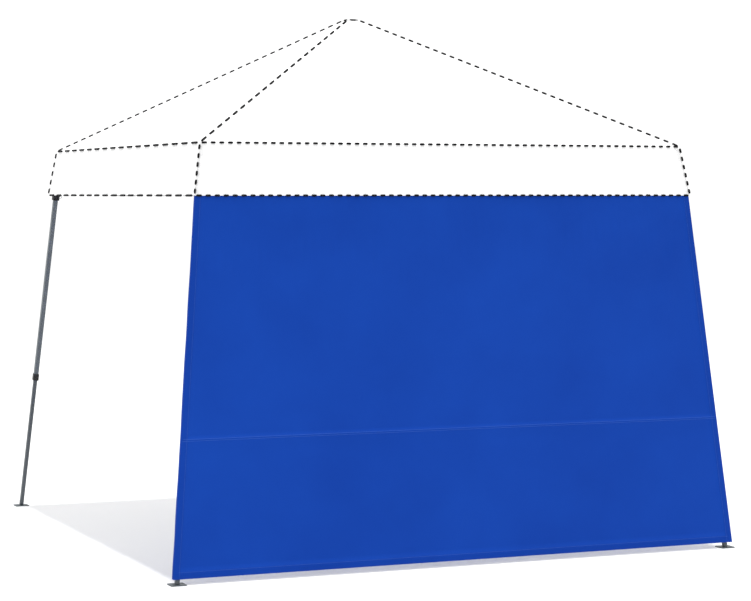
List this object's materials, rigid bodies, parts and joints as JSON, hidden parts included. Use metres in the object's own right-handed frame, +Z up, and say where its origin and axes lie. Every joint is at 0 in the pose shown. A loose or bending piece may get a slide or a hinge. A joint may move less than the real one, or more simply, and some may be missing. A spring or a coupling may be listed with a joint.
{
  "type": "pop up canopy",
  "caption": "Square pop-up canopy on slanted telescopic legs, with a folding scissor truss, a pyramid cover with a valance and one blue side wall.",
  "frame": {"origin": "on the ground, in the middle of the four feet", "axes": "+Z up; the side wall hangs on the -Y side; +X to the right when the wall is seen from outside"},
  "size_m": [3.128, 3.128, 2.845],
  "materials": {
    "upper_leg_steel": "satin grey powder coat on steel tube",
    "lower_leg_steel": "darker grey powder coat on steel tube",
    "truss_steel": "grey powder coat on flat steel bars",
    "foot_steel": "dark grey powder coat on steel plate",
    "black_plastic": "black moulded plastic",
    "grey_plastic": "light grey moulded plastic",
    "cover_cloth": "white woven polyester cover, its edges laced with a black cord",
    "wall_cloth": "royal blue coated polyester"
  },
  "bodies": {
    "roof": {"roof_hub": "black_plastic", "peak_post": "grey_plastic", "canopy_top": "cover_cloth"},
    "rafter_upper_front_left": {"rafter_upper_front_left": "truss_steel"},
    "rafter_lower_front_left": {"rafter_lower_front_left": "truss_steel"},
    "leg_front_left": {"upper_leg_front_left": "upper_leg_steel", "leg_collar_front_left": "black_plastic", "top_bracket_front_left": "black_plastic", "side_wall": "wall_cloth"},
    "lower_leg_front_left": {"lower_leg_front_left": "lower_leg_steel", "foot_plate_front_left": "foot_steel"},
    "slider_front_left": {"slider_front_left": "black_plastic"},
    "collar_button_front_left": {"collar_button_front_left": "grey_plastic"},
    "slider_pin_front_left": {"slider_pin_front_left": "grey_plastic"},
    "rafter_upper_front_right": {"rafter_upper_front_right": "truss_steel"},
    "rafter_lower_front_right": {"rafter_lower_front_right": "truss_steel"},
    "leg_front_right": {"upper_leg_front_right": "upper_leg_steel", "leg_collar_front_right": "black_plastic", "top_bracket_front_right": "black_plastic"},
    "lower_leg_front_right": {"lower_leg_front_right": "lower_leg_steel", "foot_plate_front_right": "foot_steel"},
    "slider_front_right": {"slider_front_right": "black_plastic"},
    "collar_button_front_right": {"collar_button_front_right": "grey_plastic"},
    "slider_pin_front_right": {"slider_pin_front_right": "grey_plastic"},
    "rafter_upper_back_right": {"rafter_upper_back_right": "truss_steel"},
    "rafter_lower_back_right": {"rafter_lower_back_right": "truss_steel"},
    "leg_back_right": {"upper_leg_back_right": "upper_leg_steel", "leg_collar_back_right": "black_plastic", "top_bracket_back_right": "black_plastic"},
    "lower_leg_back_right": {"lower_leg_back_right": "lower_leg_steel", "foot_plate_back_right": "foot_steel"},
    "slider_back_right": {"slider_back_right": "black_plastic"},
    "collar_button_back_right": {"collar_button_back_right": "grey_plastic"},
    "slider_pin_back_right": {"slider_pin_back_right": "grey_plastic"},
    "rafter_upper_back_left": {"rafter_upper_back_left": "truss_steel"},
    "rafter_lower_back_left": {"rafter_lower_back_left": "truss_steel"},
    "leg_back_left": {"upper_leg_back_left": "upper_leg_steel", "leg_collar_back_left": "black_plastic", "top_bracket_back_left": "black_plastic"},
    "lower_leg_back_left": {"lower_leg_back_left": "lower_leg_steel", "foot_plate_back_left": "foot_steel"},
    "slider_back_left": {"slider_back_left": "black_plastic"},
    "collar_button_back_left": {"collar_button_back_left": "grey_plastic"},
    "slider_pin_back_left": {"slider_pin_back_left": "grey_plastic"},
    "front_left_top_bar": {"front_left_top_bar": "truss_steel"},
    "front_left_slider_bar": {"front_left_slider_bar": "truss_steel"},
    "front_right_top_bar": {"front_right_top_bar": "truss_steel"},
    "front_right_slider_bar": {"front_right_slider_bar": "truss_steel"},
    "right_left_top_bar": {"right_left_top_bar": "truss_steel"},
    "right_left_slider_bar": {"right_left_slider_bar": "truss_steel"},
    "right_right_top_bar": {"right_right_top_bar": "truss_steel"},
    "right_right_slider_bar": {"right_right_slider_bar": "truss_steel"},
    "back_left_top_bar": {"back_left_top_bar": "truss_steel"},
    "back_left_slider_bar": {"back_left_slider_bar": "truss_steel"},
    "back_right_top_bar": {"back_right_top_bar": "truss_steel"},
    "back_right_slider_bar": {"back_right_slider_bar": "truss_steel"},
    "left_left_top_bar": {"left_left_top_bar": "truss_steel"},
    "left_left_slider_bar": {"left_left_slider_bar": "truss_steel"},
    "left_right_top_bar": {"left_right_top_bar": "truss_steel"},
    "left_right_slider_bar": {"left_right_slider_bar": "truss_steel"}
  },
  "joints": [
    {"name": "frame_fold", "type": "hinge", "parent": "roof", "child": "rafter_upper_front_left", "pos_m": [-0.02606, -0.02606, 2.6514], "axis": [0.7071, -0.7071, 0], "range_deg": [0, 60], "deforming": ["canopy_top", "side_wall"]},
    {"name": "rafter_elbow_front_left", "type": "hinge", "parent": "rafter_upper_front_left", "child": "rafter_lower_front_left", "pos_m": [-0.62841, -0.62841, 2.22885], "axis": [-0.7071, 0.7071, 0], "range_deg": [0, 120.5]},
    {"name": "leg_pivot_front_left", "type": "hinge", "parent": "rafter_lower_front_left", "child": "leg_front_left", "pos_m": [-1.29134, -1.29134, 2.07], "axis": [0.7071, -0.7071, 0], "range_deg": [0, 60.5]},
    {"name": "rafter_fold_front_right", "type": "hinge", "parent": "roof", "child": "rafter_upper_front_right", "pos_m": [0.02606, -0.02606, 2.6514], "axis": [0.7071, 0.7071, 0], "range_deg": [0, 60.5]},
    {"name": "rafter_elbow_front_right", "type": "hinge", "parent": "rafter_upper_front_right", "child": "rafter_lower_front_right", "pos_m": [0.62841, -0.62841, 2.22885], "axis": [-0.7071, -0.7071, 0], "range_deg": [0, 120.5]},
    {"name": "leg_pivot_front_right", "type": "hinge", "parent": "rafter_lower_front_right", "child": "leg_front_right", "pos_m": [1.29134, -1.29134, 2.07], "axis": [0.7071, 0.7071, 0], "range_deg": [0, 60.5]},
    {"name": "rafter_fold_back_right", "type": "hinge", "parent": "roof", "child": "rafter_upper_back_right", "pos_m": [0.02606, 0.02606, 2.6514], "axis": [-0.7071, 0.7071, 0], "range_deg": [0, 60.5]},
    {"name": "rafter_elbow_back_right", "type": "hinge", "parent": "rafter_upper_back_right", "child": "rafter_lower_back_right", "pos_m": [0.62841, 0.62841, 2.22885], "axis": [0.7071, -0.7071, 0], "range_deg": [0, 120.5]},
    {"name": "leg_pivot_back_right", "type": "hinge", "parent": "rafter_lower_back_right", "child": "leg_back_right", "pos_m": [1.29134, 1.29134, 2.07], "axis": [-0.7071, 0.7071, 0], "range_deg": [0, 60.5]},
    {"name": "rafter_fold_back_left", "type": "hinge", "parent": "roof", "child": "rafter_upper_back_left", "pos_m": [-0.02606, 0.02606, 2.6514], "axis": [-0.7071, -0.7071, 0], "range_deg": [0, 60.5]},
    {"name": "rafter_elbow_back_left", "type": "hinge", "parent": "rafter_upper_back_left", "child": "rafter_lower_back_left", "pos_m": [-0.62841, 0.62841, 2.22885], "axis": [0.7071, 0.7071, 0], "range_deg": [0, 120.5]},
    {"name": "leg_pivot_back_left", "type": "hinge", "parent": "rafter_lower_back_left", "child": "leg_back_left", "pos_m": [-1.29134, 1.29134, 2.07], "axis": [-0.7071, -0.7071, 0], "range_deg": [0, 60.5]},
    {"name": "front_left_top_pivot", "type": "hinge", "parent": "leg_front_left", "child": "front_left_top_bar", "pos_m": [-1.26528, -1.32528, 2.07], "axis": [0, 0.9954, -0.0956], "range_deg": [0, 60.5]},
    {"name": "front_left_centre_pivot", "type": "hinge", "parent": "front_left_top_bar", "child": "front_left_slider_bar", "pos_m": [-0.63708, -1.33707, 1.94717], "axis": [0, -0.9954, 0.0956], "range_deg": [0, 120.5]},
    {"name": "slider_pivot_front_left", "type": "hinge", "parent": "front_left_slider_bar", "child": "slider_front_left", "pos_m": [-1.27728, -1.33728, 1.945], "axis": [0, 0.9954, -0.0956], "range_deg": [0, 60.5]},
    {"name": "front_right_top_pivot", "type": "hinge", "parent": "leg_front_right", "child": "front_right_top_bar", "pos_m": [1.26528, -1.32528, 2.07], "axis": [0, -0.9954, 0.0956], "range_deg": [0, 60.5]},
    {"name": "front_right_centre_pivot", "type": "hinge", "parent": "front_right_top_bar", "child": "front_right_slider_bar", "pos_m": [0.63708, -1.33707, 1.94717], "axis": [0, 0.9954, -0.0956], "range_deg": [0, 120.5]},
    {"name": "right_left_top_pivot", "type": "hinge", "parent": "leg_front_right", "child": "right_left_top_bar", "pos_m": [1.32528, -1.26528, 2.07], "axis": [-0.9954, 0, -0.0956], "range_deg": [0, 60.5]},
    {"name": "right_left_centre_pivot", "type": "hinge", "parent": "right_left_top_bar", "child": "right_left_slider_bar", "pos_m": [1.33707, -0.63708, 1.94717], "axis": [0.9954, 0, 0.0956], "range_deg": [0, 120.5]},
    {"name": "slider_pivot_front_right", "type": "hinge", "parent": "right_left_slider_bar", "child": "slider_front_right", "pos_m": [1.33728, -1.27728, 1.945], "axis": [-0.9954, 0, -0.0956], "range_deg": [0, 60.5]},
    {"name": "right_right_top_pivot", "type": "hinge", "parent": "leg_back_right", "child": "right_right_top_bar", "pos_m": [1.32528, 1.26528, 2.07], "axis": [0.9954, 0, 0.0956], "range_deg": [0, 60.5]},
    {"name": "right_right_centre_pivot", "type": "hinge", "parent": "right_right_top_bar", "child": "right_right_slider_bar", "pos_m": [1.33707, 0.63708, 1.94717], "axis": [-0.9954, 0, -0.0956], "range_deg": [0, 120.5]},
    {"name": "back_left_top_pivot", "type": "hinge", "parent": "leg_back_right", "child": "back_left_top_bar", "pos_m": [1.26528, 1.32528, 2.07], "axis": [0, -0.9954, -0.0956], "range_deg": [0, 60.5]},
    {"name": "back_left_centre_pivot", "type": "hinge", "parent": "back_left_top_bar", "child": "back_left_slider_bar", "pos_m": [0.63708, 1.33707, 1.94717], "axis": [0, 0.9954, 0.0956], "range_deg": [0, 120.5]},
    {"name": "slider_pivot_back_right", "type": "hinge", "parent": "back_left_slider_bar", "child": "slider_back_right", "pos_m": [1.27728, 1.33728, 1.945], "axis": [0, -0.9954, -0.0956], "range_deg": [0, 60.5]},
    {"name": "back_right_top_pivot", "type": "hinge", "parent": "leg_back_left", "child": "back_right_top_bar", "pos_m": [-1.26528, 1.32528, 2.07], "axis": [0, 0.9954, 0.0956], "range_deg": [0, 60.5]},
    {"name": "back_right_centre_pivot", "type": "hinge", "parent": "back_right_top_bar", "child": "back_right_slider_bar", "pos_m": [-0.63708, 1.33707, 1.94717], "axis": [0, -0.9954, -0.0956], "range_deg": [0, 120.5]},
    {"name": "left_left_top_pivot", "type": "hinge", "parent": "leg_back_left", "child": "left_left_top_bar", "pos_m": [-1.32528, 1.26528, 2.07], "axis": [0.9954, 0, -0.0956], "range_deg": [0, 60.5]},
    {"name": "left_left_centre_pivot", "type": "hinge", "parent": "left_left_top_bar", "child": "left_left_slider_bar", "pos_m": [-1.33707, 0.63708, 1.94717], "axis": [-0.9954, 0, 0.0956], "range_deg": [0, 120.5]},
    {"name": "slider_pivot_back_left", "type": "hinge", "parent": "left_left_slider_bar", "child": "slider_back_left", "pos_m": [-1.33728, 1.27728, 1.945], "axis": [0.9954, 0, -0.0956], "range_deg": [0, 60.5]},
    {"name": "left_right_top_pivot", "type": "hinge", "parent": "leg_front_left", "child": "left_right_top_bar", "pos_m": [-1.32528, -1.26528, 2.07], "axis": [-0.9954, 0, 0.0956], "range_deg": [0, 60.5]},
    {"name": "left_right_centre_pivot", "type": "hinge", "parent": "left_right_top_bar", "child": "left_right_slider_bar", "pos_m": [-1.33707, -0.63708, 1.94717], "axis": [0.9954, 0, -0.0956], "range_deg": [0, 120.5]},
    {"name": "leg_extension_front_left", "type": "slide", "parent": "leg_front_left", "child": "lower_leg_front_left", "axis": [0.0951, 0.0951, 0.9909], "range_m": [0, 0.7]},
    {"name": "collar_button_push_front_left", "type": "slide", "parent": "leg_front_left", "child": "collar_button_front_left", "axis": [0, -0.9954, 0.0956], "range_m": [0, 0.003], "stiffness_N_per_m": 400},
    {"name": "slider_pin_pull_front_left", "type": "slide", "parent": "slider_front_left", "child": "slider_pin_front_left", "axis": [0, 0.9954, -0.0956], "range_m": [0, 0.008], "stiffness_N_per_m": 400},
    {"name": "leg_extension_front_right", "type": "slide", "parent": "leg_front_right", "child": "lower_leg_front_right", "axis": [-0.0951, 0.0951, 0.9909], "range_m": [0, 0.7]},
    {"name": "collar_button_push_front_right", "type": "slide", "parent": "leg_front_right", "child": "collar_button_front_right", "axis": [0.9954, 0, 0.0956], "range_m": [0, 0.003], "stiffness_N_per_m": 400},
    {"name": "slider_pin_pull_front_right", "type": "slide", "parent": "slider_front_right", "child": "slider_pin_front_right", "axis": [-0.9954, 0, -0.0956], "range_m": [0, 0.008], "stiffness_N_per_m": 400},
    {"name": "leg_extension_back_right", "type": "slide", "parent": "leg_back_right", "child": "lower_leg_back_right", "axis": [-0.0951, -0.0951, 0.9909], "range_m": [0, 0.7]},
    {"name": "collar_button_push_back_right", "type": "slide", "parent": "leg_back_right", "child": "collar_button_back_right", "axis": [0, 0.9954, 0.0956], "range_m": [0, 0.003], "stiffness_N_per_m": 400},
    {"name": "slider_pin_pull_back_right", "type": "slide", "parent": "slider_back_right", "child": "slider_pin_back_right", "axis": [0, -0.9954, -0.0956], "range_m": [0, 0.008], "stiffness_N_per_m": 400},
    {"name": "leg_extension_back_left", "type": "slide", "parent": "leg_back_left", "child": "lower_leg_back_left", "axis": [0.0951, -0.0951, 0.9909], "range_m": [0, 0.7]},
    {"name": "collar_button_push_back_left", "type": "slide", "parent": "leg_back_left", "child": "collar_button_back_left", "axis": [-0.9954, 0, 0.0956], "range_m": [0, 0.003], "stiffness_N_per_m": 400},
    {"name": "slider_pin_pull_back_left", "type": "slide", "parent": "slider_back_left", "child": "slider_pin_back_left", "axis": [0.9954, 0, -0.0956], "range_m": [0, 0.008], "stiffness_N_per_m": 400}
  ],
  "couplings": [
    {"joint": "rafter_elbow_front_left", "follows": "frame_fold", "ratio": 2},
    {"joint": "leg_pivot_front_left", "follows": "frame_fold", "ratio": 1},
    {"joint": "rafter_fold_front_right", "follows": "frame_fold", "ratio": 1},
    {"joint": "rafter_elbow_front_right", "follows": "frame_fold", "ratio": 2},
    {"joint": "leg_pivot_front_right", "follows": "frame_fold", "ratio": 1},
    {"joint": "rafter_fold_back_right", "follows": "frame_fold", "ratio": 1},
    {"joint": "rafter_elbow_back_right", "follows": "frame_fold", "ratio": 2},
    {"joint": "leg_pivot_back_right", "follows": "frame_fold", "ratio": 1},
    {"joint": "rafter_fold_back_left", "follows": "frame_fold", "ratio": 1},
    {"joint": "rafter_elbow_back_left", "follows": "frame_fold", "ratio": 2},
    {"joint": "leg_pivot_back_left", "follows": "frame_fold", "ratio": 1},
    {"joint": "front_left_top_pivot", "follows": "frame_fold", "ratio": 1},
    {"joint": "front_left_centre_pivot", "follows": "frame_fold", "ratio": 2},
    {"joint": "slider_pivot_front_left", "follows": "frame_fold", "ratio": 1},
    {"joint": "front_right_top_pivot", "follows": "frame_fold", "ratio": 1},
    {"joint": "front_right_centre_pivot", "follows": "frame_fold", "ratio": 2},
    {"joint": "right_left_top_pivot", "follows": "frame_fold", "ratio": 1},
    {"joint": "right_left_centre_pivot", "follows": "frame_fold", "ratio": 2},
    {"joint": "slider_pivot_front_right", "follows": "frame_fold", "ratio": 1},
    {"joint": "right_right_top_pivot", "follows": "frame_fold", "ratio": 1},
    {"joint": "right_right_centre_pivot", "follows": "frame_fold", "ratio": 2},
    {"joint": "back_left_top_pivot", "follows": "frame_fold", "ratio": 1},
    {"joint": "back_left_centre_pivot", "follows": "frame_fold", "ratio": 2},
    {"joint": "slider_pivot_back_right", "follows": "frame_fold", "ratio": 1},
    {"joint": "back_right_top_pivot", "follows": "frame_fold", "ratio": 1},
    {"joint": "back_right_centre_pivot", "follows": "frame_fold", "ratio": 2},
    {"joint": "left_left_top_pivot", "follows": "frame_fold", "ratio": 1},
    {"joint": "left_left_centre_pivot", "follows": "frame_fold", "ratio": 2},
    {"joint": "slider_pivot_back_left", "follows": "frame_fold", "ratio": 1},
    {"joint": "left_right_top_pivot", "follows": "frame_fold", "ratio": 1},
    {"joint": "left_right_centre_pivot", "follows": "frame_fold", "ratio": 2}
  ]
}
